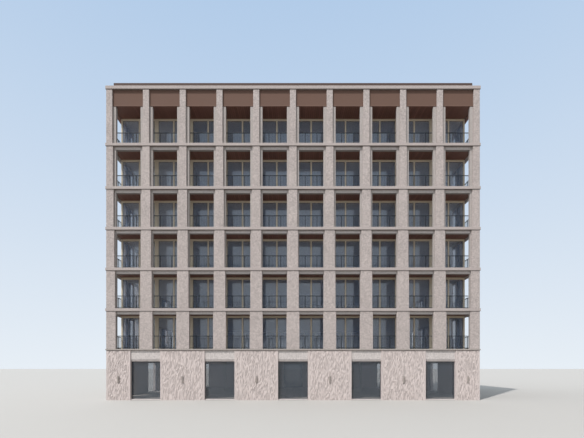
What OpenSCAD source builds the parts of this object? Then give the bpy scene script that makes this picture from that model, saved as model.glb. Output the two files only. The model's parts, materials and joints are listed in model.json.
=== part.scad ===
// Apartment block: seven storeys, a two-layer facade grid with deep loggias, hewn stone ground floor.
// Millimetres, +Z up. The origin is at the centre of the footprint, on the ground.
// The long street front faces -Y.

/* [Grid] */
// Distance between the pier lines
bay = 2700; // [2200:20:3240]
// Bays along the front and the back
bays_x = 10; // [6:2:10]
// Bays along each side
bays_y = 6; // [4:2:8]
// From the outermost pier line to the corner of the building
corner_reach = 225; // [225:5:260]

/* [Storeys] */
// Height from the ground to the first upper floor
ground_h = 3760; // [3500:10:4600]
// How many of the six upper storeys have the usual height
low_storeys = 4; // [3:1:5]
// Height of a usual upper storey
storey_h = 2985; // [2900:5:3600]
// Height of each storey above those
tall_h = 3180; // [3000:10:3800]
// Thickness of the floor slabs
slab_t = 300; // [200:10:340]

/* [Outer grid] */
// Width of an outer pier in the lowest upper storey
pier_w = 950; // [900:10:1100]
// How much narrower the outer piers get in each storey
pier_step = 100; // [0:5:100]
// Thickness of an outer pier in front of the inner frame
pier_t = 130; // [100:5:160]
// Height of a storey band
band_h = 210; // [160:10:260]
// Height of the band on the ground floor walls
base_band_h = 90; // [70:10:240]
// How far the bands and the cornice stand in front of the piers
band_out = 45; // [20:5:100]
// Open joint between two precast pieces that meet at a corner
joint = 8; // [4:1:12]

/* [Inner frame] */
// Width of an inner pier
inner_w = 900; // [800:10:1100]
// Thickness of the inner piers and lintels
inner_t = 240; // [200:10:300]
// Height of an inner lintel below its band
lintel_h = 220; // [200:10:320]

/* [Loggias] */
// From the pier face to the glazing of the front and the back
loggia_d = 1650; // [1400:10:2200]
// Thickness of the soffit lining
soffit_t = 40; // [20:5:60]
// Thickness of the walls between the middle and the outer flats
party_t = 200; // [150:10:300]

/* [Windows] */
// Depth of a window frame
frame_d = 100; // [80:5:120]
// Height of the head of a window frame
head_h = 160; // [120:10:260]
// Height of the sill of a window frame
sill_h = 80; // [60:5:120]
// Width of a post between two windows
post_w = 320; // [150:10:500]
// Width of a mullion
mullion_w = 120; // [80:10:200]
// How far the posts and mullions stand to the right of an even division of the wall
bar_off = 80; // [-200:10:200]
// Width of the post where two glazed walls meet
corner_post_w = 120; // [80:10:160]
// Thickness of a glass pane
glass_t = 30; // [20:2:40]
// Width of the narrowest pane
pane_min = 300; // [200:10:400]
// Width of the rebate round a pane, on the outside of the frame
rebate_w = 35; // [20:1:38]
// Depth of that rebate
rebate_d = 22; // [15:1:24]

/* [Railings] */
// Height of a railing
rail_h = 1000; // [900:10:1200]
// Height and depth of the top rail
rail_bar = 45; // [30:1:60]
// Width of a railing post
rail_post = 35; // [20:1:50]
// From the floor to the bottom rail
rail_gap = 70; // [40:5:110]
// Railing posts in a bay
rail_posts = 4; // [3:1:6]
// From the pier face to the railings of the sides
side_rail_d = 280; // [240:10:300]
// Gap between two railings
rail_joint = 30; // [20:2:60]

/* [Ground floor] */
// Thickness of the ground floor walls
wall_t = 370; // [300:10:450]
// Height of the floor and the sills above the ground
floor_z = 80; // [40:10:150]
// Width of a ground floor opening
door_w = 2200; // [1800:10:2400]
// Underside of the lintels
door_h = 2840; // [2400:10:2900]
// Height of the splayed lower strip of a lintel
splay_h = 170; // [120:10:300]
// How far the splay leans back
splay_d = 45; // [20:5:80]
// From the wall face to the lintel face
lintel_d = 75; // [30:5:120]
// From the wall face to the ground floor glazing
door_d = 250; // [200:5:270]
// Width of the ground floor frame bars
door_bar = 40; // [40:5:160]
// How far the outermost openings of the front and the back stand outside their pier line
door_shift = 50; // [0:10:100]
// Width of a ground floor column
column_w = 240; // [200:10:500]
// From the middle of the building back to the row of columns
column_y = 2300; // [1500:50:2600]
// Width of a wall lamp
lamp_w = 110; // [60:5:140]
// How far the head of a wall lamp stands out
lamp_d = 100; // [60:5:120]
// How far its foot stands out
lamp_foot_d = 55; // [20:5:60]
// Height of a wall lamp
lamp_h = 500; // [160:10:600]
// Middle of the wall lamps above the ground
lamp_z = 1530; // [1500:10:2200]

/* [Roof] */
// From the roof slab to the underside of the cornice
parapet_h = 780; // [500:10:1000]
// Height of the cornice
cornice_h = 240; // [180:10:300]
// Height of the metal panels of the top storey
panel_h = 1190; // [900:10:1400]
// Thickness of the metal panels, which lie on the parapet
panel_t = 15; // [10:1:60]
// Height of the planter above the cornice
planter_up = 490; // [200:10:600]
// Width of the planter
planter_w = 650; // [400:10:900]
// Depth of soil in the planter
soil_h = 400; // [200:10:450]
// Thickness of the planter's metal sheet
sheet_t = 20; // [10:1:30]

/* [Hidden] */
storeys = 6;
half_x = bays_x * bay / 2 + corner_reach;
half_y = bays_y * bay / 2 + corner_reach;
frame_back = pier_t + inner_t;
core_x = half_x - frame_back;
core_y = half_y - frame_back;
roof_z = level(storeys + 1);
cornice_z = roof_z + parapet_h;
panel_z = cornice_z - panel_h;
rail_d = frame_back;
door_xs = opening_lines(bays_x, door_shift);
door_ys = opening_lines(bays_y, 0);
planter_top = cornice_z + cornice_h + planter_up;
planter_back = frame_back + planter_w + joint;

// Middle of each solid stretch of the front wall that carries a lamp
lamp_xs = [for (span = wall_spans(door_xs, half_x)) (span[0] + span[1]) / 2];

// Floor level of upper storey i, counted from 1
function level(i) = ground_h + storey_h * min(i - 1, low_storeys) + tall_h * max(i - 1 - low_storeys, 0);

// Underside of the band above storey i, or of the cornice above the top one
function storey_top(i) = i == storeys ? cornice_z : level(i + 1) - band_h;

// Width of the outer piers in storey i
function outer_w(i) = pier_w - pier_step * (i - 1);

// Underside of the soffit above storey i
function soffit_z(i) = level(i + 1) - slab_t - soffit_t;

// Middle of each ground floor opening of a wall: on every second pier line
function opening_lines(bays, shift) = [
    for (k = [1 - bays / 2 : 2 : bays / 2 - 1])
        k * bay + (abs(k) == bays / 2 - 1 ? sign(k) * shift : 0)
];

// Pier lines between the corners of a facade
function inner_lines(bays) = [for (k = [1 : bays - 1]) (k - bays / 2) * bay];

// Box between two corners
module block(low, high) {
    translate(low) cube(high - low);
}

// One facade: local x runs along the wall, local y goes inward from the pier face
module facade(turn) {
    reach = turn % 180 == 0 ? half_y : half_x;
    rotate([0, 0, turn])
        translate([0, -reach, 0])
            children();
}

module front_and_back() {
    for (turn = [0, 180])
        facade(turn) children();
}

module both_sides() {
    for (turn = [90, 270])
        facade(turn) children();
}

// Four straight bars round the building, with an open joint at each corner.
// They lie from depth d0 to depth d1, and the front and back bars take the corners.
module four_bars(d0, d1, z0, z1) {
    front_and_back()
        block([-half_x + d0, d0, z0], [half_x - d0, d1, z1]);
    both_sides()
        block([-half_y + d1 + joint, d0, z0], [half_y - d1 - joint, d1, z1]);
}

// Precast band on top of storey i - 1, level with the floor of storey i
module band(i) {
    height = i == 1 ? base_band_h : band_h;
    color([0.76, 0.72, 0.69])
        four_bars(-band_out, frame_back, level(i) - height, level(i));
}

module cornice() {
    color([0.76, 0.72, 0.69])
        four_bars(-band_out, frame_back, cornice_z, cornice_z + cornice_h);
}

// Outer piers of storey i: flat slabs on the pier lines, angle-shaped ones on the corners
module outer_piers(i) {
    w = outer_w(i);
    z0 = level(i);
    z1 = storey_top(i);
    leg = corner_reach + w / 2;
    color([0.70, 0.66, 0.64]) {
        front_and_back()
            for (x = inner_lines(bays_x))
                block([x - w / 2, 0, z0], [x + w / 2, pier_t, z1]);
        both_sides()
            for (x = inner_lines(bays_y))
                block([x - w / 2, 0, z0], [x + w / 2, pier_t, z1]);
        for (sx = [0, 1], sy = [0, 1])
            mirror([sx, 0, 0])
                mirror([0, sy, 0])
                    translate([-half_x, -half_y, z0])
                        linear_extrude(z1 - z0)
                            polygon([[0, 0], [leg, 0], [leg, pier_t], [pier_t, pier_t], [pier_t, leg], [0, leg]]);
    }
}

// Top of the inner piers in storey i
function inner_top(i) = i == storeys ? panel_z : storey_top(i);

module inner_piers(bays) {
    for (i = [1 : storeys], x = inner_lines(bays))
        block([x - inner_w / 2, pier_t, level(i)], [x + inner_w / 2, frame_back, inner_top(i)]);
}

module inner_piers_front() {
    color([0.64, 0.61, 0.59]) facade(0) inner_piers(bays_x);
}

module inner_piers_back() {
    color([0.64, 0.61, 0.59]) facade(180) inner_piers(bays_x);
}

module inner_piers_sides() {
    color([0.64, 0.61, 0.59]) both_sides() inner_piers(bays_y);
}

// Angle-shaped posts behind the corner piers, as wide as half an inner pier past the line
module corner_posts() {
    leg = corner_reach + inner_w / 2 - pier_t;
    color([0.64, 0.61, 0.59])
        for (i = [1 : storeys], sx = [0, 1], sy = [0, 1])
            mirror([sx, 0, 0])
                mirror([0, sy, 0])
                    translate([-half_x + pier_t, -half_y + pier_t, level(i)])
                        linear_extrude(inner_top(i) - level(i))
                            polygon([[0, 0], [leg, 0], [leg, inner_t], [inner_t, inner_t], [inner_t, leg], [0, leg]]);
}

// Lintels between the inner piers, under the bands. The top storey has the parapet instead.
module facade_lintels(bays) {
    half_gap = (bay - inner_w) / 2;
    for (i = [1 : storeys - 1], k = [0 : bays - 1]) {
        x = (k + 0.5 - bays / 2) * bay;
        block([x - half_gap, pier_t, storey_top(i) - lintel_h], [x + half_gap, frame_back, storey_top(i)]);
    }
}

module inner_lintels() {
    color([0.64, 0.61, 0.59]) {
        front_and_back() facade_lintels(bays_x);
        both_sides() facade_lintels(bays_y);
    }
}

// Metal panels between the outer piers of the top storey
module facade_panels(bays) {
    w = outer_w(storeys);
    for (k = [0 : bays - 1]) {
        x = (k + 0.5 - bays / 2) * bay;
        block([x - (bay - w) / 2, pier_t - panel_t, panel_z], [x + (bay - w) / 2, pier_t, cornice_z]);
    }
}

module top_panels() {
    color([0.46, 0.39, 0.33]) {
        front_and_back() facade_panels(bays_x);
        both_sides() facade_panels(bays_y);
    }
}

module parapet() {
    color([0.55, 0.53, 0.51])
        four_bars(pier_t, frame_back, panel_z + soffit_t, cornice_z);
}

// The lowest slab lies inside the ground floor walls, the others inside the inner frame
module floor_slabs() {
    color([0.60, 0.59, 0.57])
        for (i = [1 : storeys]) {
            edge = i == 1 ? max(frame_back, wall_t) : frame_back;
            block([-half_x + edge, -half_y + edge, level(i) - slab_t], [half_x - edge, half_y - edge, level(i)]);
        }
}

module roof_slab() {
    color([0.60, 0.59, 0.57])
        block([-core_x, -core_y, roof_z - slab_t], [core_x, core_y, roof_z]);
}

// Lining under the slab above each loggia, from the inner frame to behind the window head,
// and under the parapet
module loggia_soffits() {
    color([0.27, 0.20, 0.16]) {
        front_and_back()
            for (i = [1 : storeys])
                block([-core_x, frame_back, soffit_z(i)], [core_x, loggia_d + frame_d, level(i + 1) - slab_t]);
        four_bars(pier_t, frame_back, panel_z, panel_z + soffit_t);
    }
}

// Walls between the middle and the outer flats, seen through the glazing
module party_walls() {
    inside = half_y - loggia_d - frame_d;
    color([0.80, 0.79, 0.77])
        for (i = [1 : storeys], s = [-1, 1]) {
            x = s * (bays_x / 2 - 2) * bay;
            block([x - party_t / 2, -inside, level(i)], [x + party_t / 2, inside, level(i + 1) - slab_t]);
        }
}

// Left edge and right edge of each clear stretch between the bars of a glazed wall.
// The bars are given as [middle, width], in order.
function clear_spans(bars) = [
    for (n = [0 : len(bars) - 2])
        [bars[n][0] + bars[n][1] / 2, bars[n + 1][0] - bars[n + 1][1] / 2]
];

// Bars of a glazed wall that reaches from -reach to reach, in as many equal lengths as the facade
// has bays: a mullion in the middle of each length and a post between two, as far as a pane fits
// between them and the corner posts
function wall_bars(bays, reach) = [
    [-reach + corner_post_w / 2, corner_post_w],
    for (k = [0 : bays - 1])
        for (bar = [
            [(2 * k + 1 - bays) * reach / bays + bar_off, mullion_w],
            [(2 * k + 2 - bays) * reach / bays + bar_off, post_w]
        ])
            if (abs(bar[0]) + bar[1] / 2 + pane_min < reach - corner_post_w)
                bar,
    [reach - corner_post_w / 2, corner_post_w]
];

// Window frame of one storey: a plate with one hole for each pane, rebated on the outside
module glazed_wall(bars, d0, z0, z1) {
    reach = -bars[0][0] + bars[0][1] / 2;
    difference() {
        block([-reach, d0, z0], [reach, d0 + frame_d, z1]);
        for (span = clear_spans(bars))
            pane_hole(span, [z0 + sill_h, z1 - head_h], d0);
    }
}

// Hole through a frame for one pane between two edges and two heights, with its rebate
module pane_hole(xs, zs, d0) {
    block([xs[0], d0 - 1, zs[0]], [xs[1], d0 + frame_d + 1, zs[1]]);
    block([xs[0] - rebate_w, d0 - 1, zs[0] - rebate_w], [xs[1] + rebate_w, d0 + rebate_d, zs[1] + rebate_w]);
}

module panes(bars, d0, z0, z1) {
    for (span = clear_spans(bars))
        block(
            [span[0], d0 + (frame_d - glass_t) / 2, z0 + sill_h],
            [span[1], d0 + (frame_d + glass_t) / 2, z1 - head_h]
        );
}

front_bars = wall_bars(bays_x, core_x);
side_bars = wall_bars(bays_y, half_y - loggia_d - frame_d);

module front_frames() {
    for (i = [1 : storeys])
        glazed_wall(front_bars, loggia_d, level(i), soffit_z(i));
}

module front_panes() {
    for (i = [1 : storeys])
        panes(front_bars, loggia_d, level(i), soffit_z(i));
}

module window_frames_front() {
    color([0.42, 0.38, 0.30]) facade(0) front_frames();
}

module window_frames_back() {
    color([0.42, 0.38, 0.30]) facade(180) front_frames();
}

module window_frames_sides() {
    color([0.42, 0.38, 0.30])
        both_sides()
            for (i = [1 : storeys])
                glazed_wall(side_bars, frame_back, level(i), level(i + 1) - slab_t);
}

module window_glass_front() {
    color([0.35, 0.40, 0.44]) facade(0) front_panes();
}

module window_glass_back() {
    color([0.35, 0.40, 0.44]) facade(180) front_panes();
}

module window_glass_sides() {
    color([0.35, 0.40, 0.44])
        both_sides()
            for (i = [1 : storeys])
                panes(side_bars, frame_back, level(i), level(i + 1) - slab_t);
}

// One railing: a top rail, a bottom rail and posts, from x0 to x1, with its face at depth d
module railing(x0, x1, d, z) {
    block([x0, d, z + rail_h - rail_bar], [x1, d + rail_bar, z + rail_h]);
    block([x0, d, z + rail_gap], [x1, d + rail_bar, z + rail_gap + rail_bar]);
    for (n = [0 : rail_posts - 1]) {
        x = x0 + (x1 - x0 - rail_post) * n / (rail_posts - 1);
        block([x, d, z], [x + rail_post, d + rail_bar, z + rail_h - rail_bar / 2]);
    }
}

// The loggia railings stand behind the inner piers, one for each bay
module loggia_railings() {
    for (i = [1 : storeys], k = [0 : bays_x - 1]) {
        x = (k + 0.5 - bays_x / 2) * bay;
        end = (bay - rail_joint) / 2;
        x0 = max(x - end, -core_x);
        x1 = min(x + end, core_x);
        railing(x0, x1, rail_d, level(i));
    }
}

module railings_front() {
    color([0.22, 0.23, 0.25]) facade(0) loggia_railings();
}

module railings_back() {
    color([0.22, 0.23, 0.25]) facade(180) loggia_railings();
}

// The side railings stand in the reveals, between the inner piers
module railings_sides() {
    half_gap = (bay - inner_w) / 2;
    color([0.22, 0.23, 0.25])
        both_sides()
            for (i = [1 : storeys], k = [0 : bays_y - 1]) {
                x = (k + 0.5 - bays_y / 2) * bay;
                railing(x - half_gap, x + half_gap, side_rail_d, level(i));
            }
}

// Floor of the ground storey, inside the walls
module ground_slab() {
    color([0.55, 0.54, 0.52])
        block([-half_x + wall_t, -half_y + wall_t, 0], [half_x - wall_t, half_y - wall_t, floor_z]);
}

// Stretches of wall between the openings, each from its left edge to its right edge
function wall_spans(doors, reach) = [
    for (n = [0 : len(doors)])
        [n == 0 ? -reach : doors[n - 1] + door_w / 2, n == len(doors) ? reach : doors[n] - door_w / 2]
];

module ground_wall(doors, reach) {
    for (span = wall_spans(doors, reach))
        block([span[0], 0, 0], [span[1], wall_t, ground_h - base_band_h]);
}

module ground_walls_front() {
    color([0.78, 0.74, 0.72]) facade(0) ground_wall(door_xs, half_x);
}

module ground_walls_back() {
    color([0.78, 0.74, 0.72]) facade(180) ground_wall(door_xs, half_x);
}

module ground_walls_sides() {
    color([0.78, 0.74, 0.72]) both_sides() ground_wall(door_ys, half_y - wall_t);
}

// Lintel over one opening, in section: a plain face with a splayed strip below it
module ground_lintel(x) {
    top = ground_h - base_band_h;
    translate([x - door_w / 2, 0, 0])
        rotate([90, 0, 90])
            linear_extrude(door_w)
                polygon([
                    [lintel_d, top], [lintel_d, door_h + splay_h], [lintel_d + splay_d, door_h],
                    [wall_t, door_h], [wall_t, top]
                ]);
}

module ground_lintels() {
    color([0.80, 0.77, 0.75]) {
        front_and_back() for (x = door_xs) ground_lintel(x);
        both_sides() for (x = door_ys) ground_lintel(x);
    }
}

module ground_sill(x) {
    block([x - door_w / 2, lintel_d, 0], [x + door_w / 2, wall_t, floor_z]);
}

module ground_sills() {
    color([0.62, 0.60, 0.58]) {
        front_and_back() for (x = door_xs) ground_sill(x);
        both_sides() for (x = door_ys) ground_sill(x);
    }
}

module ground_frame(x) {
    difference() {
        block([x - door_w / 2, door_d, floor_z], [x + door_w / 2, door_d + frame_d, door_h]);
        block(
            [x - door_w / 2 + door_bar, door_d - 1, floor_z + door_bar],
            [x + door_w / 2 - door_bar, door_d + frame_d + 1, door_h - door_bar]
        );
    }
}

module ground_window_frames() {
    color([0.26, 0.22, 0.19]) {
        front_and_back() for (x = door_xs) ground_frame(x);
        both_sides() for (x = door_ys) ground_frame(x);
    }
}

module ground_pane(x) {
    block(
        [x - door_w / 2 + door_bar, door_d + (frame_d - glass_t) / 2, floor_z + door_bar],
        [x + door_w / 2 - door_bar, door_d + (frame_d + glass_t) / 2, door_h - door_bar]
    );
}

module ground_glass() {
    color([0.35, 0.40, 0.44]) {
        front_and_back() for (x = door_xs) ground_pane(x);
        both_sides() for (x = door_ys) ground_pane(x);
    }
}

// One row of columns, evenly spaced along the building
module ground_columns() {
    color([0.66, 0.65, 0.63])
        for (k = [-5 : 2 : 5]) {
            x = k * half_x / 6;
            block(
                [x - column_w / 2, column_y - column_w / 2, floor_z],
                [x + column_w / 2, column_y + column_w / 2, ground_h - slab_t]
            );
        }
}

// Wall lamps in the middle of each solid stretch of wall: a deep head that narrows to its foot
module wall_lamps() {
    color([0.45, 0.42, 0.40])
        front_and_back()
            for (x = lamp_xs)
                translate([x - lamp_w / 2, 0, lamp_z - lamp_h / 2])
                    rotate([90, 0, 90])
                        linear_extrude(lamp_w)
                            polygon([
                                [0, 0], [-lamp_foot_d, 0], [-lamp_d, lamp_h - lamp_d],
                                [-lamp_d, lamp_h], [0, lamp_h]
                            ]);
}

// One straight trough, from x0 to x1, between the depths of the planter
module trough(x0, x1) {
    d0 = frame_back + joint;
    d1 = planter_back;
    tray_z = planter_top - soil_h - 3 * sheet_t;
    block([x0, d0, roof_z], [x1, d0 + sheet_t, planter_top]);
    block([x0, d1 - sheet_t, roof_z], [x1, d1, planter_top]);
    block([x0, d0, tray_z], [x1, d1, tray_z + sheet_t]);
    for (x = [x0, x1 - sheet_t])
        block([x, d0, roof_z], [x + sheet_t, d1, planter_top]);
}

module trough_soil(x0, x1) {
    tray_z = planter_top - soil_h - 2 * sheet_t;
    block(
        [x0 + sheet_t, frame_back + joint + sheet_t, tray_z],
        [x1 - sheet_t, planter_back - sheet_t, tray_z + soil_h]
    );
}

module roof_planter() {
    long = core_x - joint;
    short = half_y - planter_back - joint;
    color([0.43, 0.35, 0.30]) {
        front_and_back() trough(-long, long);
        both_sides() trough(-short, short);
    }
}

module planter_soil() {
    long = core_x - joint;
    short = half_y - planter_back - joint;
    color([0.30, 0.24, 0.18]) {
        front_and_back() trough_soil(-long, long);
        both_sides() trough_soil(-short, short);
    }
}

ground_slab();
ground_walls_front();
ground_walls_back();
ground_walls_sides();
ground_lintels();
ground_sills();
ground_window_frames();
ground_glass();
ground_columns();
wall_lamps();
band(1);  // band_1
band(2);  // band_2
band(3);  // band_3
band(4);  // band_4
band(5);  // band_5
band(6);  // band_6
cornice();
outer_piers(1);  // outer_piers_1
outer_piers(2);  // outer_piers_2
outer_piers(3);  // outer_piers_3
outer_piers(4);  // outer_piers_4
outer_piers(5);  // outer_piers_5
outer_piers(6);  // outer_piers_6
inner_piers_front();
inner_piers_back();
inner_piers_sides();
corner_posts();
inner_lintels();
top_panels();
parapet();
floor_slabs();
roof_slab();
loggia_soffits();
party_walls();
window_frames_front();
window_frames_back();
window_frames_sides();
window_glass_front();
window_glass_back();
window_glass_sides();
railings_front();
railings_back();
railings_sides();
roof_planter();
planter_soil();
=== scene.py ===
# Apartment block: finishes, chamfered edges, railing bars, pane gaskets, drip strips, hewn walls
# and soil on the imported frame, with its studio and camera
import json
import math

import bmesh
import bpy
import numpy as np
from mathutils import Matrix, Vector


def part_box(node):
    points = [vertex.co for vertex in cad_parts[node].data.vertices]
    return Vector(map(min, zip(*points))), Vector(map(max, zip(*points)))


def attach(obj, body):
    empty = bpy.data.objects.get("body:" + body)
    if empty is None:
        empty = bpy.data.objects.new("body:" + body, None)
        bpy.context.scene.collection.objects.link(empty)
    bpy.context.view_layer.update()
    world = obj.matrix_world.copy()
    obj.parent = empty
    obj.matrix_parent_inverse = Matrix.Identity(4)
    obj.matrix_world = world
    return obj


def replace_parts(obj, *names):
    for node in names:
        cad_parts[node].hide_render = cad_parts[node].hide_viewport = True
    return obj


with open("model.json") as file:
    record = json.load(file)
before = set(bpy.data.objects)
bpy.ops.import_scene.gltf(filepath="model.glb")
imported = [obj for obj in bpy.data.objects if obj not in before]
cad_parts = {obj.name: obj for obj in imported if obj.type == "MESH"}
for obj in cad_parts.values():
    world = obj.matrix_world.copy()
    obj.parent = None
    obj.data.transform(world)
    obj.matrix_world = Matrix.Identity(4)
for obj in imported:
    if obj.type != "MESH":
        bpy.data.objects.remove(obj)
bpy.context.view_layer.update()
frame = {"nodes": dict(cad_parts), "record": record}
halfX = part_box("ground_walls_front")[1].x  # the wall faces, without bands and lamps
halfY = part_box("ground_walls_back")[1].y
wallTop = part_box("ground_walls_front")[1].z
print("frame loaded", len(frame["nodes"]), "nodes")

camera = {
    "distance": 28.0,  # from the pier face
    "eyeHeight": 2.45,
    "focalPixels": 381.35,
    "middleColumn": 293.0,  # pixel column of the middle of the facade
    "horizonRow": 366.8,  # pixel row of the horizon
    "frameSize": (584, 438),
    "sensor": 36.0,
    "reach": 1000.0,  # how far it sees
}

light = {
    "sunStrength": 2.85,
    "sunColour": (1.0, 0.945, 0.90),
    "sunAngle": 1.2,  # degrees, how soft the shadows are
    "sunTravel": (0.379, 0.485, -0.788),
    "skyStrength": 0.82,
    "skyColour": (0.88, 0.945, 1.0),
    "skyLean": 0.7,  # how much brighter the sky is on the sun's side than straight ahead
    "horizonColour": (0.80, 0.86, 0.92),
    "zenithColour": (0.42, 0.58, 0.80),
    "zenithHeight": 0.75,  # where the backdrop is deepest: 0 at the horizon and 1 overhead
    "floorColour": (0.50, 0.49, 0.47),  # where the camera, gloss or clear glass shows it
    "floorBounce": (0.31, 0.28, 0.25),  # what it throws back on the building
    "floorSize": 400.0,
    "floorDrop": 0.002,  # below the foot of the building
}
near = 0.001  # two places closer than this are taken as one


def shade(red, green, blue):
    # a display colour, 0 to 255, as the linear colour that a shader takes
    parts = np.array([red, green, blue]) / 255.0
    linear = np.where(parts <= 0.04045, parts / 12.92, ((parts + 0.055) / 1.055) ** 2.4)
    return (*linear.tolist(), 1.0)


def toned(colour, factor):
    # the same colour, darker or lighter
    return (*(min(part * factor, 1.0) for part in colour[:3]), 1.0)


# One value in a node tree: sums and products of such values add Math nodes
class Wire:
    def __init__(self, graph, socket):
        self.graph, self.socket = graph, socket

    def out(self, name):
        # another output of the same node
        return Wire(self.graph, self.socket.node.outputs[name])

    def math(self, operation, first, second=0.0):
        return self.graph.node("ShaderNodeMath", {"operation": operation}, {0: first, 1: second})

    def __add__(self, other):
        return self.math("ADD", self, other)

    def __sub__(self, other):
        return self.math("SUBTRACT", self, other)

    def __rsub__(self, other):
        return self.math("SUBTRACT", other, self)

    def __mul__(self, other):
        return self.math("MULTIPLY", self, other)

    def __truediv__(self, other):
        return self.math("DIVIDE", self, other)

    def __rtruediv__(self, other):
        return self.math("DIVIDE", other, self)

    __radd__ = __add__
    __rmul__ = __mul__

    def least(self, other):
        return self.math("MINIMUM", self, other)

    def most(self, other):
        return self.math("MAXIMUM", self, other)

    def floor(self):
        return self.math("FLOOR", self)

    def absolute(self):
        return self.math("ABSOLUTE", self)

    def toNearest(self, spacing):
        # distance to the nearest multiple of the spacing
        return self.math("PINGPONG", self, spacing / 2)

    def ramp(self, low, high, start=0.0, end=1.0):
        # start below low, end above high, and a straight line between
        return self.graph.node(
            "ShaderNodeMapRange", {"clamp": True}, {0: self, 1: low, 2: high, 3: start, 4: end}
        )


# A node tree, with one way to add any node
class Graph:
    def __init__(self, tree):
        self.tree = tree

    def node(self, kind, settings=None, inputs=None, output=0):
        made = self.tree.nodes.new(kind)
        for key, value in (settings or {}).items():
            setattr(made, key, value)
        for key, value in (inputs or {}).items():
            self.feed(made.inputs[key], value)
        return Wire(self, made.outputs[output]) if made.outputs else made

    def feed(self, socket, value):
        if isinstance(value, Wire):
            self.tree.links.new(value.socket, socket)
        else:
            socket.default_value = value

    def mix(self, factor, first, second):
        # the first colour where the factor is 0 and the second where it is 1
        return self.node(
            "ShaderNodeMix", {"data_type": "RGBA"}, {0: factor, 6: first, 7: second}, output=2
        )

    def inView(self):
        # 1 for what the camera sees, also in gloss and through glass; 0 for light on the building
        path = self.node("ShaderNodeLightPath", output="Is Camera Ray")
        return path.most(path.out("Is Glossy Ray")).most(path.out("Is Transmission Ray"))


# A material: its Principled shader, and the noises and directions that the finishes share
class Finish(Graph):
    def __init__(self, name, fixed):
        self.material = bpy.data.materials.new(name)
        self.material.use_nodes = True
        super().__init__(self.material.node_tree)
        self.shader = self.tree.nodes["Principled BSDF"]
        for socket, value in fixed.items():
            self.shader.inputs[socket].default_value = value
        self.place = self.node("ShaderNodeTexCoord", output="Object")

    def drive(self, socket, value):
        self.feed(self.shader.inputs[socket], value)

    def split(self, vector):
        # the x, y and z of a vector as three values
        parts = self.node("ShaderNodeSeparateXYZ", None, {0: vector})
        return [parts.out(k) for k in range(3)]

    def facing(self):
        # how far a face looks up: 1 on top, 0 on upright faces and -1 below
        return self.split(self.node("ShaderNodeNewGeometry", output="Normal"))[2]

    def noise(self, scale, detail=2.0, roughness=0.5, stretch=None):
        # soft noise from 0 to 1; stretch scales each axis of the place first
        place = self.place
        if stretch:
            place = self.node(
                "ShaderNodeVectorMath", {"operation": "MULTIPLY"}, {0: place, 1: stretch}
            )
        return self.node(
            "ShaderNodeTexNoise",
            {"noise_dimensions": "3D"},
            {"Vector": place, "Scale": scale, "Detail": detail, "Roughness": roughness},
        )

    def bump(self, height, distance, strength=1.0):
        self.drive("Normal", self.node(
            "ShaderNodeBump", None, {"Height": height, "Distance": distance, "Strength": strength}
        ))


def washedStone(name, colour, mottle=0.07, streak=0.04, grain=0.004, rough=0.86, reed=0.0):
    # precast stone: soft mottling a hand wide, faint upright streaks, a washed gritty face, and
    # downward faces painted darker as painted shade; reed is the distance between fine upright
    # grooves, if any
    finish = Finish(name, {"Specular IOR Level": 0.35})
    blotch = finish.noise(11.0, 4.0, 0.65)  # a hand wide
    cloud = finish.noise(0.8, 2.0)  # wider than a pier
    rain = finish.noise(1.0, 3.0, 0.55, (5.0, 5.0, 0.35))  # drawn out upright
    grit = finish.noise(55.0, 3.0, 0.7)
    tone = (blotch - 0.5) * (4 * mottle) + (cloud - 0.5) * (0.6 * mottle)
    tone = tone + (rain - 0.5) * (3 * streak) + 0.5
    height = grit * 0.5 + blotch * 0.5
    if reed:
        x, y, _ = finish.split(finish.place)
        groove = (x + y).toNearest(reed).ramp(0.0, 0.012, 1.0, 0.0)
        tone = tone - groove * 0.2
        height = height - groove * 1.5
    body = finish.mix(tone.ramp(0.0, 1.0), toned(colour, 0.68), toned(colour, 1.32))
    # painted shade: faces that look down, such as band and lintel undersides and the splays, are
    # darkened towards 0.4 of the colour
    below = finish.facing().ramp(-0.6, -0.1, 0.8, 0.0)
    finish.drive("Base Color", finish.mix(below, body, toned(colour, 0.4)))
    finish.drive("Roughness", grit.ramp(0.3, 0.7, rough - 0.08, rough + 0.06))
    finish.bump(height, grain)
    return finish.material


def hewnStone(name, colour):
    # hewn stone: the relief is in the mesh, and its hollows are painted darker than its ridges, as
    # painted shade added to the shade that the relief itself casts
    finish = Finish(name, {"Specular IOR Level": 0.3})
    hollow = finish.node("ShaderNodeAttribute", {"attribute_name": "hollow"}, output="Fac")
    fleck = finish.noise(16.0, 3.0, 0.6, (1.0, 1.0, 0.6))
    cloud = finish.noise(0.6, 2.0)
    # painted shade: the deeper a point lies, the darker its colour, which includes the creases and
    # the deep joint at the top of the wall
    tone = 1.02 - hollow * 0.8 + (fleck - 0.5) * 0.28 + (cloud - 0.5) * 0.1
    body = finish.mix(tone.ramp(0.0, 1.2), toned(colour, 0.6), toned(colour, 1.1))
    finish.drive("Base Color", body)
    grit = finish.noise(38.0, 4.0, 0.7)
    finish.drive("Roughness", grit.ramp(0.3, 0.7, 0.8, 0.95))
    finish.bump(grit * 0.4 + fleck * 0.6, 0.025)
    return finish.material


def satinMetal(name, colour, rough=0.42, metallic=0.3, variation=0.06):
    # coated metal sheet: nearly even, with a slow change of tone and a faint brushing along z
    finish = Finish(name, {"Metallic": metallic, "Specular IOR Level": 0.25})
    cloud = finish.noise(0.9, 2.0)
    brush = finish.noise(1.0, 3.0, 0.6, (60.0, 60.0, 2.0))
    tone = (cloud - 0.5) * (6 * variation) + (brush - 0.5) * (2 * variation) + 0.5
    body = finish.mix(tone.ramp(0.0, 1.0), toned(colour, 0.82), toned(colour, 1.2))
    finish.drive("Base Color", body)
    satin = cloud * 0.5 + brush * 0.5
    finish.drive("Roughness", satin.ramp(0.3, 0.7, rough - 0.06, rough + 0.08))
    finish.bump(brush, 0.0006)
    return finish.material


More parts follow.
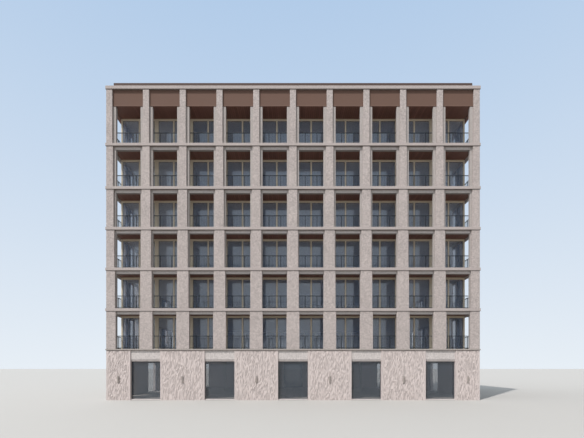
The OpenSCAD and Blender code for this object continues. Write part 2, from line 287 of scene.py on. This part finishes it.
def boardedSoffit(name, colour, board=0.15):
    # narrow boards across the loggia: a groove between boards and a tone of its own for each
    finish = Finish(name, {"Specular IOR Level": 0.3})
    across = finish.split(finish.place)[0]
    groove = across.toNearest(board).ramp(0.004, 0.012, 1.0, 0.0)
    own = finish.node(
        "ShaderNodeTexWhiteNoise", {"noise_dimensions": "1D"}, {"W": (across / board).floor()}
    )
    grain = finish.noise(2.0, 4.0, 0.6, (14.0, 1.2, 14.0))
    tone = own * 0.4 + grain * 0.6
    body = finish.mix(tone.ramp(0.2, 0.8), toned(colour, 0.8), toned(colour, 1.25))
    finish.drive("Base Color", finish.mix(groove, body, toned(colour, 0.3)))
    finish.drive("Roughness", grain.ramp(0.3, 0.7, 0.5, 0.7))
    finish.bump(grain * 0.2 - groove * 0.8, 0.006)
    return finish.material


def windowGlass(name, tint, alpha, ior, screened=0.0, film=0.98):
    # double glazing: half clear, with a slight waviness that bends what it mirrors; at the back,
    # the panes nearer to the middle than screened have a film, which is as opaque as film says
    finish = Finish(name, {
        "Roughness": 0.015, "IOR": ior, "Alpha": alpha, "Specular IOR Level": 0.5
    })
    cloud = finish.noise(3.0, 3.0, 0.6)
    finish.drive("Base Color", finish.mix(cloud, toned(tint, 0.8), toned(tint, 1.2)))
    if screened:
        x, y, _ = finish.split(finish.place)
        filmed = x.absolute().ramp(screened - 0.1, screened, 1.0, 0.0) * y.ramp(0.0, 0.1)
        finish.drive("Alpha", filmed.ramp(0.0, 1.0, alpha, film))
    finish.bump(finish.noise(0.9, 1.0, 0.4), 0.002)
    return finish.material


def tiledFloor(name, tiles, ceiling, tile=0.6):
    # floor slabs: square tiles with dark joints on top, bare concrete edges and plaster below
    finish = Finish(name, {"Specular IOR Level": 0.35})
    x, y, _ = finish.split(finish.place)
    up = finish.facing()
    line = x.toNearest(tile).least(y.toNearest(tile)).ramp(0.003, 0.006, 1.0, 0.0)
    joint = line * up.ramp(0.4, 0.8)
    column, row = (x / tile).floor(), (y / tile).floor()
    cell = finish.node("ShaderNodeCombineXYZ", None, {0: column, 1: row})
    own = finish.node("ShaderNodeTexWhiteNoise", {"noise_dimensions": "3D"}, {"Vector": cell})
    fleck = finish.noise(9.0, 4.0, 0.6)
    face = finish.mix(own * 0.5 + fleck * 0.5, toned(tiles, 0.8), toned(tiles, 1.2))
    face = finish.mix(joint, face, toned(tiles, 0.4))
    finish.drive("Base Color", finish.mix(up.ramp(-0.8, -0.4, 1.0, 0.0), face, ceiling))
    finish.drive("Roughness", fleck.ramp(0.3, 0.7, 0.7, 0.85))
    finish.bump(fleck * 0.3 - joint * 0.7, 0.003)
    return finish.material


def gravelRoof(name, stones, ceiling):
    # washed gravel on top: pebbles as cells, each with its own tone; plaster on the ceiling below
    finish = Finish(name, {"Roughness": 0.92})
    cells = finish.node(
        "ShaderNodeTexVoronoi", {"feature": "F1"}, {"Vector": finish.place, "Scale": 22.0}
    )
    own = finish.node("ShaderNodeSeparateColor", None, {0: cells.out("Color")})
    tone = own * 0.6 + finish.noise(0.4, 3.0) * 0.4
    face = finish.mix(tone, toned(stones, 0.6), toned(stones, 1.35))
    below = finish.facing().ramp(-0.8, -0.4, 1.0, 0.0)
    finish.drive("Base Color", finish.mix(below, face, ceiling))
    finish.bump(cells.ramp(0.0, 0.8, 1.0, 0.0), 0.02)
    return finish.material


def bareSoil(name, colour):
    # crumbly soil: clods a thumb wide over slower humps
    finish = Finish(name, {"Roughness": 0.97, "Specular IOR Level": 0.2})
    clod = finish.noise(26.0, 5.0, 0.7)
    body = finish.mix(clod.ramp(0.3, 0.7), toned(colour, 0.6), toned(colour, 1.5))
    finish.drive("Base Color", body)
    finish.bump(clod * 0.6 + finish.noise(3.0) * 0.4, 0.03)
    return finish.material


ceilingWhite = shade(240, 238, 233)
finishes = {
    "pier_stone": washedStone("pierStone", shade(179, 170, 167), mottle=0.55, streak=0.03),
    "band_stone": washedStone("bandStone", shade(178, 169, 166), mottle=0.25, streak=0.02),
    # the inner piers are darker than the inner lintels of the same stone: partly the stone's own
    # tone, partly painted shade for the strips beside the outer piers
    "inner_stone": washedStone("innerStone", shade(173, 167, 164), mottle=0.3),
    "smooth_stone": washedStone(
        "smoothStone", shade(201, 195, 193), mottle=0.42, streak=0.02, grain=0.002, reed=0.275
    ),
    "hewn_stone": hewnStone("hewnStone", shade(213, 202, 199)),
    "slab": tiledFloor("tiledFloor", shade(205, 200, 192), ceilingWhite),
    "plaster": washedStone("plaster", shade(214, 211, 206), mottle=0.02, streak=0.0, grain=0.001),
    "roof_deck": gravelRoof("roofGravel", shade(150, 148, 142), ceilingWhite),
    "soil": bareSoil("soil", shade(78, 64, 50)),
    "soffit": boardedSoffit("soffitBoards", shade(112, 78, 68)),
    "panel_metal": satinMetal(
        "panelBronze", shade(109, 86, 76), rough=0.8, metallic=0.0, variation=0.04
    ),
    "window_metal": satinMetal("windowBronze", shade(221, 211, 192), metallic=0.0),
    "dark_frame": satinMetal("doorBlack", shade(44, 43, 44), metallic=0.4),
    "rail_steel": satinMetal("railSteel", shade(46, 49, 52), rough=0.55, metallic=0.2),
    "planter_metal": satinMetal("planterBronze", shade(88, 72, 66), rough=0.7, metallic=0.0),
    "lamp_metal": satinMetal("lampMetal", shade(168, 160, 155), metallic=0.1),
    "glass": windowGlass("windowGlass", shade(152, 172, 204), 0.3, 2.9),
}
# Nodes that look different from the rest of their slot
ownFinish = {
    "ground_glass": windowGlass("streetGlass", shade(84, 95, 108), 0.3, 1.9, screened=2.5),
    "window_glass_back": windowGlass("backGlass", shade(116, 128, 148), 0.85, 2.9),
    "ground_window_frames": satinMetal("streetFrame", shade(88, 88, 92), metallic=0.2),
    # painted shade: the base band is darker than the other bands, standing in for the shaded
    # recess along it
    "band_1": washedStone("baseStone", shade(170, 163, 158), mottle=0.2, streak=0.02),
    # painted light: the inner lintels are kept lighter than the inner piers of the same stone, for
    # the bounce light that they catch
    "inner_lintels": washedStone("lintelStone", shade(192, 186, 184), mottle=0.3),
}
sides = ("front", "back", "sides")
slotOf = {row["node"]: row["material_slot"] for row in frame["record"]["subparts"]}
for node, slot in slotOf.items():
    slots = frame["nodes"][node].data.materials
    slots.clear()
    slots.append(ownFinish.get(node, finishes[slot]))
print("finishes made")


def addPiece(name, mesh, slot, node=None):
    # a piece on the building, in the finish of its slot or of the node that it is a copy of
    mesh.materials.clear()
    mesh.materials.append(ownFinish.get(node, finishes[slot]))
    mesh.shade_flat()
    piece = bpy.data.objects.new(name, mesh)
    bpy.context.scene.collection.objects.link(piece)
    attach(piece, "root")
    return piece


def meshOf(name, points, faces):
    mesh = bpy.data.meshes.new(name)
    mesh.from_pydata(points, [], faces)
    mesh.update()
    return mesh


def mergeCorners(mesh, flatten=False):
    # corners at one place become one, and faces that lose their area go; flatten also makes
    # each flat side of a mesh one face
    joined = bmesh.new()
    joined.from_mesh(mesh)
    bmesh.ops.remove_doubles(joined, verts=joined.verts, dist=near / 10)
    if flatten:
        bmesh.ops.dissolve_limit(
            joined, angle_limit=math.radians(1), verts=joined.verts, edges=joined.edges
        )
    joined.to_mesh(mesh)
    joined.free()


# Width of the chamfer on the edges of each kind of piece
chamfer = {
    "band_stone": 0.012,
    "pier_stone": 0.012,
    "inner_stone": 0.012,
    "smooth_stone": 0.010,
    "panel_metal": 0.003,
    "planter_metal": 0.003,
    "lamp_metal": 0.006,
}
sharpFrom = 20  # degrees between two faces from which the edge between them is chamfered


def chamferPiece(node, slot):
    # a copy of the node: its loose triangles are joined and its flat faces made whole, and then
    # every sharp edge is cut at an even width
    mesh = frame["nodes"][node].data.copy()
    mergeCorners(mesh, flatten=True)
    piece = addPiece("chamfered_" + node, mesh, slot, node)
    cut = piece.modifiers.new("chamfer", "BEVEL")
    cut.width = chamfer[slot]
    cut.segments = 1
    cut.limit_method = "ANGLE"
    cut.angle_limit = math.radians(sharpFrom)
    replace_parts(piece, node)


for node, slot in slotOf.items():
    if slot in chamfer:
        chamferPiece(node, slot)
print("edges chamfered")


def solidBoxes(node):
    # lowest and highest corner of each separate solid of a node: triangles that share a corner
    # take the lower of their labels, over and over, until nothing changes
    mesh = frame["nodes"][node].data
    corners = np.empty(len(mesh.vertices) * 3)
    mesh.vertices.foreach_get("co", corners)
    mesh.calc_loop_triangles()
    triangles = np.empty(len(mesh.loop_triangles) * 3, dtype=int)
    mesh.loop_triangles.foreach_get("vertices", triangles)
    spots, which = np.unique(corners.reshape(-1, 3).round(4), axis=0, return_inverse=True)
    triangles = which.ravel()[triangles].reshape(-1, 3)
    label = np.arange(len(spots))
    while True:
        lower = label.copy()
        np.minimum.at(lower, triangles.ravel(), np.repeat(label[triangles].min(axis=1), 3))
        lower = lower[lower]
        if (lower == label).all():
            break
        label = lower
    solids = np.unique(label)
    lows = np.array([spots[label == solid].min(axis=0) for solid in solids])
    highs = np.array([spots[label == solid].max(axis=0) for solid in solids])
    return lows, highs


# The six faces of a box whose corner n has its x, y and z high where bit 0, 1 and 2 of n are set
boxCorners = np.array([[n & 1, n >> 1 & 1, n >> 2 & 1] for n in range(8)])
boxFaces = np.array([
    [0, 2, 3, 1], [4, 5, 7, 6], [0, 1, 5, 4], [2, 6, 7, 3], [0, 4, 6, 2], [1, 3, 7, 5]
])


def boxMesh(lows, highs):
    # each box is its low corner plus its size times the corners of a unit box
    points = lows[:, None, :] + (highs - lows)[:, None, :] * boxCorners
    faces = boxFaces + 8 * np.arange(len(lows))[:, None, None]
    return points.reshape(-1, 3), faces.reshape(-1, 4)


def ringMesh(lows, highs, profile):
    # rectangular rings: each point of the profile goes in from the four corners of an upright
    # rectangle by its first number, and out of its plane by its second
    sizes = highs - lows
    middle = (lows + highs) / 2
    flat = sizes[:, 0] < sizes[:, 1]  # which way the thin side of the pane lies
    half = np.where(flat, sizes[:, 1], sizes[:, 0]) / 2
    signs = np.array([[-1, 0], [1, 0], [1, 1], [-1, 1]])
    inset, out = np.array(profile).T
    along = signs[None, :, None, 0] * (half[:, None, None] - inset)
    height = np.where(
        signs[None, :, None, 1] == 1,
        highs[:, 2][:, None, None] - inset,
        lows[:, 2][:, None, None] + inset,
    )
    outward = np.where(flat, np.sign(middle[:, 0]), np.sign(middle[:, 1]))
    depth = outward[:, None, None] * out
    centre = middle[:, None, None, :]
    x = centre[..., 0] + np.where(flat[:, None, None], depth, along)
    y = centre[..., 1] + np.where(flat[:, None, None], along, depth)
    points = np.stack([x, y, height], axis=-1)
    count = len(profile)
    side, step = np.meshgrid(np.arange(4), np.arange(count), indexing="ij")
    nextSide, nextStep = (side + 1) % 4, (step + 1) % count
    quads = np.stack([
        side * count + step,
        nextSide * count + step,
        nextSide * count + nextStep,
        side * count + nextStep,
    ], axis=-1).reshape(-1, 4)
    faces = quads + 4 * count * np.arange(len(lows))[:, None, None]
    turned = (outward < 0) != flat  # where the ring is seen from its other side
    faces = np.where(turned[:, None, None], faces[:, :, ::-1], faces)
    return points.reshape(-1, 3), faces.reshape(-1, 4)


railing = {
    "spacing": 0.115,  # from one bar to the next
    "width": 0.010,
    "depth": 0.012,
    "foot": 0.10,  # from the floor to the foot of the bars
    "head": 0.03,  # from the top of the railing down to their head
}


def railingBars(node, name):
    # upright flat bars at an even spacing in each railing, from its bottom rail to its top rail
    lows, highs = solidBoxes(node)
    starts, ends = [], []
    for low, high in zip(lows, highs):
        run = 0 if high[0] - low[0] > high[1] - low[1] else 1
        count = round((high[run] - low[run]) / railing["spacing"])
        middles = low[run] + (high[run] - low[run]) * (np.arange(count - 1) + 1) / count
        across = (low[1 - run] + high[1 - run]) / 2
        start = np.empty((len(middles), 3))
        end = np.empty((len(middles), 3))
        start[:, run], end[:, run] = middles - railing["width"] / 2, middles + railing["width"] / 2
        start[:, 1 - run] = across - railing["depth"] / 2
        end[:, 1 - run] = across + railing["depth"] / 2
        start[:, 2], end[:, 2] = low[2] + railing["foot"], high[2] - railing["head"]
        starts.append(start)
        ends.append(end)
    points, faces = boxMesh(np.concatenate(starts), np.concatenate(ends))
    addPiece(name, meshOf(name, points, faces), "rail_steel")


for side in sides:
    railingBars("railings_" + side, "railing_bars_" + side)
print("railing bars made")

gasket = {
    "width": 0.012,
    "proud": 0.020,  # from the middle of the pane to the face of the gasket
    "slope": 0.004,  # how much further in its inner edge lies
}


def paneGaskets(node, name):
    # a slim dark gasket round each pane, on both of its faces
    width, proud, slope = gasket["width"], gasket["proud"], gasket["slope"]
    section = [(0.0, proud), (width, proud - slope), (width, slope - proud), (0.0, -proud)]
    points, faces = ringMesh(*solidBoxes(node), section)
    addPiece(name, meshOf(name, points, faces), "dark_frame")


for side in sides:
    paneGaskets("window_glass_" + side, "window_gaskets_" + side)
print("gaskets made")

drip = {
    "height": 0.10,
    "out": 0.012,  # from the panel face
    "lip": 0.03,  # height of its upright edge
}


def panelDrips(node, name):
    # a folded drip strip at the foot of each panel: its section slopes from the panel face out to
    # a small upright lip, and is carried from one end of the panel to the other
    lows, highs = solidBoxes(node)
    rows = np.arange(len(lows))
    run = np.where((highs - lows)[:, 0] > (highs - lows)[:, 1], 0, 1)
    side = 1 - run
    outward = np.sign((lows + highs)[rows, side])
    face = np.where(outward > 0, highs[rows, side], lows[rows, side])
    section = np.array([
        [0.0, drip["height"]], [drip["out"], drip["lip"]], [drip["out"], 0.0], [0.0, 0.0]
    ])
    proud = face[:, None] + outward[:, None] * section[:, 0]
    points = np.empty((len(lows), 2, 4, 3))
    for end, edge in enumerate((lows, highs)):
        points[rows[:, None], end, np.arange(4), run[:, None]] = edge[rows, run][:, None]
        points[rows[:, None], end, np.arange(4), side[:, None]] = proud
        points[:, end, :, 2] = lows[:, 2][:, None] + section[:, 1]
    quads = np.array([
        [0, 4, 5, 1], [1, 5, 6, 2], [2, 6, 7, 3], [3, 7, 4, 0], [0, 1, 2, 3], [7, 6, 5, 4]
    ])
    faces = quads + 8 * rows[:, None, None]
    turned = (outward > 0) == (run == 0)
    faces = np.where(turned[:, None, None], faces[:, :, ::-1], faces)
    addPiece(name, meshOf(name, points.reshape(-1, 3), faces.reshape(-1, 4)), "panel_metal")


panelDrips("top_panels", "panel_drips")
print("panel drips made")

relief = {
    "step": (0.022, 0.046),  # between two columns and two rows of the mesh
    "depth": 0.026,  # of the deepest hollow below the wall face
    "arris": 0.006,  # how far the corners stand back
    "fade": 0.20,  # from a corner to the full relief
    "apart": 31.0,  # between the four sides of the house in the pattern
    "slant": 0.05,  # sideways lean of the chisel strokes for each metre of height
    "wander": (0.6, 0.5, 0.03),  # width, height and reach of their sideways strays
    "shift": (0.15, 0.9, 0.5),  # and of their steps up and down
    "stroke": (0.050, 0.17, 1.5),  # width, height and share in the depth of the strokes
    "nick": (0.075, 0.15, 0.5),  # of the nicks between them
    "swell": (0.26, 0.60, 0.1),  # and of the swells below both
    "flat": 0.62,  # the part of their sum that stays level with the wall face
    "joint": 0.05,  # height of the deep joint at the top of the wall
    "creaseEvery": 1.865,  # from one crease to the next
    "creaseAt": 1.51,  # place of one of them along the front
    "creaseRange": (1.95, 3.25),  # heights of its two ends
    "creaseEnds": (0.4, 0.2),  # and how long each takes to fade
    "creaseWidth": 0.028,
    "creaseDepth": 0.6,  # as a share of the depth
}


def latticeNoise(u, v, seed):
    # random heights on a square lattice, joined by a smooth fifth-power curve
    size = 256
    table = np.random.default_rng(seed).random((size, size))
    column, row = np.floor(u).astype(int), np.floor(v).astype(int)
    a, b = u - column, v - row
    a, b = (t * t * t * (t * (t * 6 - 15) + 10) for t in (a, b))
    corner = [table[(column + i) % size, (row + j) % size] for j in (0, 1) for i in (0, 1)]
    below, above = (corner[k] * (1 - a) + corner[k + 1] * a for k in (0, 2))
    return below * (1 - b) + above * b


def reliefDepth(u, z):
    # strokes are narrow upright noise that wanders a little, nicks are the ridges of rounder noise
    # and swells slower noise; a thin crease runs down the upper half of the wall at every repeat
    width, height, reach = relief["wander"]
    wander = (latticeNoise(u / width, z / height, 1) - 0.5) * reach - z * relief["slant"]
    width, height, reach = relief["shift"]
    shift = (latticeNoise(u / width, z / height, 2) - 0.5) * reach
    width, height, share = relief["stroke"]
    depth = share * latticeNoise((u + wander) / width, (z + shift) / height, 3)
    width, height, share = relief["nick"]
    ridge = 1 - np.abs(2 * latticeNoise((u + wander) / width, (z - shift) / height, 4) - 1)
    depth = depth + share * ridge
    width, height, share = relief["swell"]
    depth = depth + share * latticeNoise((u - wander) / width, (z - shift) / height, 5)
    offset = (u + wander * 0.1 - relief["creaseAt"]) % relief["creaseEvery"]
    offset = np.minimum(offset, relief["creaseEvery"] - offset)
    low, high = relief["creaseRange"]
    lowEnd, highEnd = relief["creaseEnds"]
    crease = np.exp(-((offset / relief["creaseWidth"]) ** 2))
    crease = crease * np.clip((z - low) / lowEnd, 0, 1) * np.clip((high - z) / highEnd, 0, 1)
    joint = z > wallTop - relief["joint"]
    depth = depth - relief["flat"] + relief["creaseDepth"] * crease + joint
    return relief["depth"] * np.clip(depth, 0, 1)


def hewnStretch(low, high, wallThickness):
    # a stretch of wall as columns of points round its outline; the columns on a street face
    # stand back by the relief, and fade to a fixed arris at the corners of the wall; it gives
    # the points, the quads, the two ends and how deep each point lies
    (left, front), (right, back) = low[:2], high[:2]
    outline = np.array([[left, front], [right, front], [right, back], [left, back]])
    across, upright = relief["step"]
    rows = np.linspace(low[2], high[2], round((high[2] - low[2]) / upright) + 1)
    street = [
        front < -halfY + near, right > halfX - near, back > halfY - near, left < -halfX + near
    ]
    inward = np.array([[0, 1], [-1, 0], [0, -1], [1, 0]])
    seam = halfY - wallThickness  # where a side wall meets the front or the back wall
    columns, depths = [], []
    for k in range(4):
        start, end = outline[k], outline[(k + 1) % 4]
        length = np.abs(end - start).sum()
        count = round(length / across) if street[k] else 1
        places = start + (end - start) * (np.arange(count) / count)[:, None]
        inner = np.zeros((count, len(rows), 2))
        sunk = np.zeros((count, len(rows)))
        if street[k]:
            along = places[:, k % 2] + relief["apart"] * k
            sunk = reliefDepth(*np.meshgrid(along, rows, indexing="ij"))
            fade = np.ones(count)
            for corner in (start, end):
                if k % 2 == 0 or abs(abs(corner[1]) - seam) > near:
                    away = np.abs(places - corner).sum(axis=1)
                    fade = np.minimum(fade, np.clip(away / relief["fade"], 0, 1))
            sunk = relief["arris"] + (sunk - relief["arris"]) * fade[:, None]
            inner = sunk[:, :, None] * inward[k]
        if street[k - 1]:  # the first column ends the face before this one
            turn = np.full(len(rows), relief["arris"])
            if k % 2 == 0 and abs(abs(start[1]) - seam) < near:
                along = start[1] + relief["apart"] * ((k - 1) % 4)
                turn = reliefDepth(np.full(len(rows), along), rows)
            inner[0] = inner[0] * street[k] + turn[:, None] * inward[k - 1]
            sunk[0] = np.maximum(sunk[0], turn)
        columns.append(places[:, None, :] + inner)
        depths.append(sunk)
    plan = np.concatenate(columns)
    heights = np.broadcast_to(rows[None, :, None], (*plan.shape[:2], 1))
    points = np.concatenate([plan, heights], axis=2)
    grid = np.arange(plan.shape[0] * plan.shape[1]).reshape(plan.shape[:2])
    after = np.roll(grid, -1, axis=0)
    quads = np.stack([grid[:, :-1], after[:, :-1], after[:, 1:], grid[:, 1:]], axis=-1)
    caps = [grid[::-1, 0], grid[:, -1]]
    return points.reshape(-1, 3), quads.reshape(-1, 4), caps, np.concatenate(depths).ravel()


def hewnWall(node, name):
    # every stretch of a wall in one mesh, and how deep each point lies as an attribute
    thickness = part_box("ground_walls_front")[1].y + halfY  # of the front wall
    lows, highs = solidBoxes(node)
    points, faces, hollow, total = [], [], [], 0
    for low, high in zip(lows, highs):
        corners, quads, caps, depths = hewnStretch(low, high, thickness)
        points.append(corners)
        faces += (quads + total).tolist() + [(cap + total).tolist() for cap in caps]
        hollow.append(depths / relief["depth"])
        total += len(corners)
    mesh = meshOf(name, np.concatenate(points), faces)
    attribute = mesh.attributes.new("hollow", "FLOAT", "POINT")
    attribute.data.foreach_set("value", np.concatenate(hollow).astype(np.float32))
    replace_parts(addPiece(name, mesh, "hewn_stone"), node)


for side in sides:
    hewnWall("ground_walls_" + side, "hewn_wall_" + side)
print("hewn walls made")

soilBed = {
    "step": 0.09,  # between two rows or columns of the mesh
    "sink": 0.05,  # of the lowest place below the CAD top
    "hump": 0.6,  # width of the humps
    "clod": 0.14,  # and of the clods on them
    "humpShare": 0.6,  # of the sink, and the clods take the rest
    "firstSeed": 10,  # of its pattern: each bed takes two
}


def soilGrid(low, high, seed):
    # a bed as one closed grid: its top sinks below the CAD top by two noises, a wide and a narrow
    # one, and its outermost rows fold down to the bottom
    counts = [max(round(span / soilBed["step"]), 2) + 1 for span in high - low]
    across, along = (np.linspace(low[k], high[k], counts[k]) for k in (0, 1))
    x, y = np.meshgrid(across, along, indexing="ij")
    humps = latticeNoise(x / soilBed["hump"], y / soilBed["hump"], seed)
    clods = latticeNoise(x / soilBed["clod"], y / soilBed["clod"], seed + 1)
    share = soilBed["humpShare"]
    z = high[2] - soilBed["sink"] * (share * humps + (1 - share) * clods)
    points = np.pad(np.stack([x, y, z], axis=-1), ((1, 1), (1, 1), (0, 0)), mode="edge")
    points[[0, -1], :, 2] = low[2]
    points[:, [0, -1], 2] = low[2]
    grid = np.arange(points.shape[0] * points.shape[1]).reshape(points.shape[:2])
    quads = np.stack([grid[:-1, :-1], grid[1:, :-1], grid[1:, 1:], grid[:-1, 1:]], axis=-1)
    rim = np.concatenate([grid[0, 1:-1], grid[1:-1, -1], grid[-1, -2:0:-1], grid[-2:0:-1, 0]])
    return points.reshape(-1, 3), quads.reshape(-1, 4), rim


def soilBeds(node, name):
    # one bed for each trough, in one mesh
    points, faces, total = [], [], 0
    for bed, (low, high) in enumerate(zip(*solidBoxes(node))):
        corners, quads, rim = soilGrid(low, high, soilBed["firstSeed"] + 2 * bed)
        points.append(corners)
        faces += (quads + total).tolist() + [(rim + total).tolist()]
        total += len(corners)
    mesh = meshOf(name, np.concatenate(points), faces)
    mergeCorners(mesh)
    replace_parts(addPiece(name, mesh, "soil"), node)


soilBeds("planter_soil", "soil_beds")
print("soil made")


def studioFloor():
    # pale where it is seen, while less light comes back from it onto the building
    finish = Finish("studioFloor", {"Roughness": 0.9})
    seen, bounce = (*light["floorColour"], 1.0), (*light["floorBounce"], 1.0)
    finish.drive("Base Color", finish.mix(finish.inView(), bounce, seen))
    size, drop = light["floorSize"], light["floorDrop"]
    plan = [(-size, -size), (size, -size), (size, size), (-size, size)]
    mesh = meshOf("studioFloor", [(x, y, -drop) for x, y in plan], [(0, 1, 2, 3)])
    mesh.materials.append(finish.material)
    floor = bpy.data.objects.new("studioFloor", mesh)
    bpy.context.scene.collection.objects.link(floor)


def studioSky():
    # the building is lit by a sky that is brighter on the sun's side; what is seen is a pale
    # backdrop that deepens upwards
    world = bpy.data.worlds.new("studioSky")
    bpy.context.scene.world = world
    world.use_nodes = True
    world.node_tree.nodes.clear()
    graph = Graph(world.node_tree)
    direction = graph.node("ShaderNodeTexCoord", output="Generated")
    across = graph.node("ShaderNodeSeparateXYZ", None, {0: direction})
    height = across.out(2)
    horizon, zenith = (*light["horizonColour"], 1.0), (*light["zenithColour"], 1.0)
    backdrop = graph.mix(height.ramp(0.0, light["zenithHeight"]), horizon, zenith)
    sunSide, lean = (*light["skyColour"], 1.0), light["skyLean"]
    farSide = toned(sunSide, (1 - lean) / (1 + lean))
    colour = graph.mix(across.ramp(-1.0, 1.0), sunSide, farSide)
    strength = light["skyStrength"] * (1 + lean)
    lit = graph.node("ShaderNodeBackground", None, {0: colour, 1: strength})
    shown = graph.node("ShaderNodeBackground", None, {0: backdrop})
    both = graph.node("ShaderNodeMixShader", None, {0: graph.inView(), 1: lit, 2: shown})
    graph.node("ShaderNodeOutputWorld", None, {0: both})


def studioSun():
    # the lamp shines down its own -Z: tipped by the sun's height, then turned to its bearing
    lamp = bpy.data.lights.new("sun", "SUN")
    lamp.energy = light["sunStrength"]
    lamp.color = light["sunColour"]
    lamp.angle = math.radians(light["sunAngle"])
    sun = bpy.data.objects.new("sun", lamp)
    x, y, z = light["sunTravel"]
    sun.rotation_euler = (math.atan2(math.hypot(x, y), -z), 0.0, math.atan2(y, x) - math.pi / 2)
    bpy.context.scene.collection.objects.link(sun)


def streetCamera():
    lens = bpy.data.cameras.new("streetCamera")
    width, height = camera["frameSize"]
    lens.sensor_width = camera["sensor"]
    lens.lens = camera["focalPixels"] * camera["sensor"] / width
    lens.shift_x = (width / 2 - camera["middleColumn"]) / width
    lens.shift_y = (camera["horizonRow"] - height / 2) / width
    lens.clip_end = camera["reach"]
    eye = bpy.data.objects.new("streetCamera", lens)
    eye.location = (0.0, -halfY - camera["distance"], camera["eyeHeight"])
    eye.rotation_euler = (math.pi / 2, 0.0, 0.0)
    bpy.context.scene.collection.objects.link(eye)
    bpy.context.scene.camera = eye


studioFloor()
studioSky()
studioSun()
streetCamera()
bpy.context.scene.view_settings.view_transform = "Standard"
print("studio made")
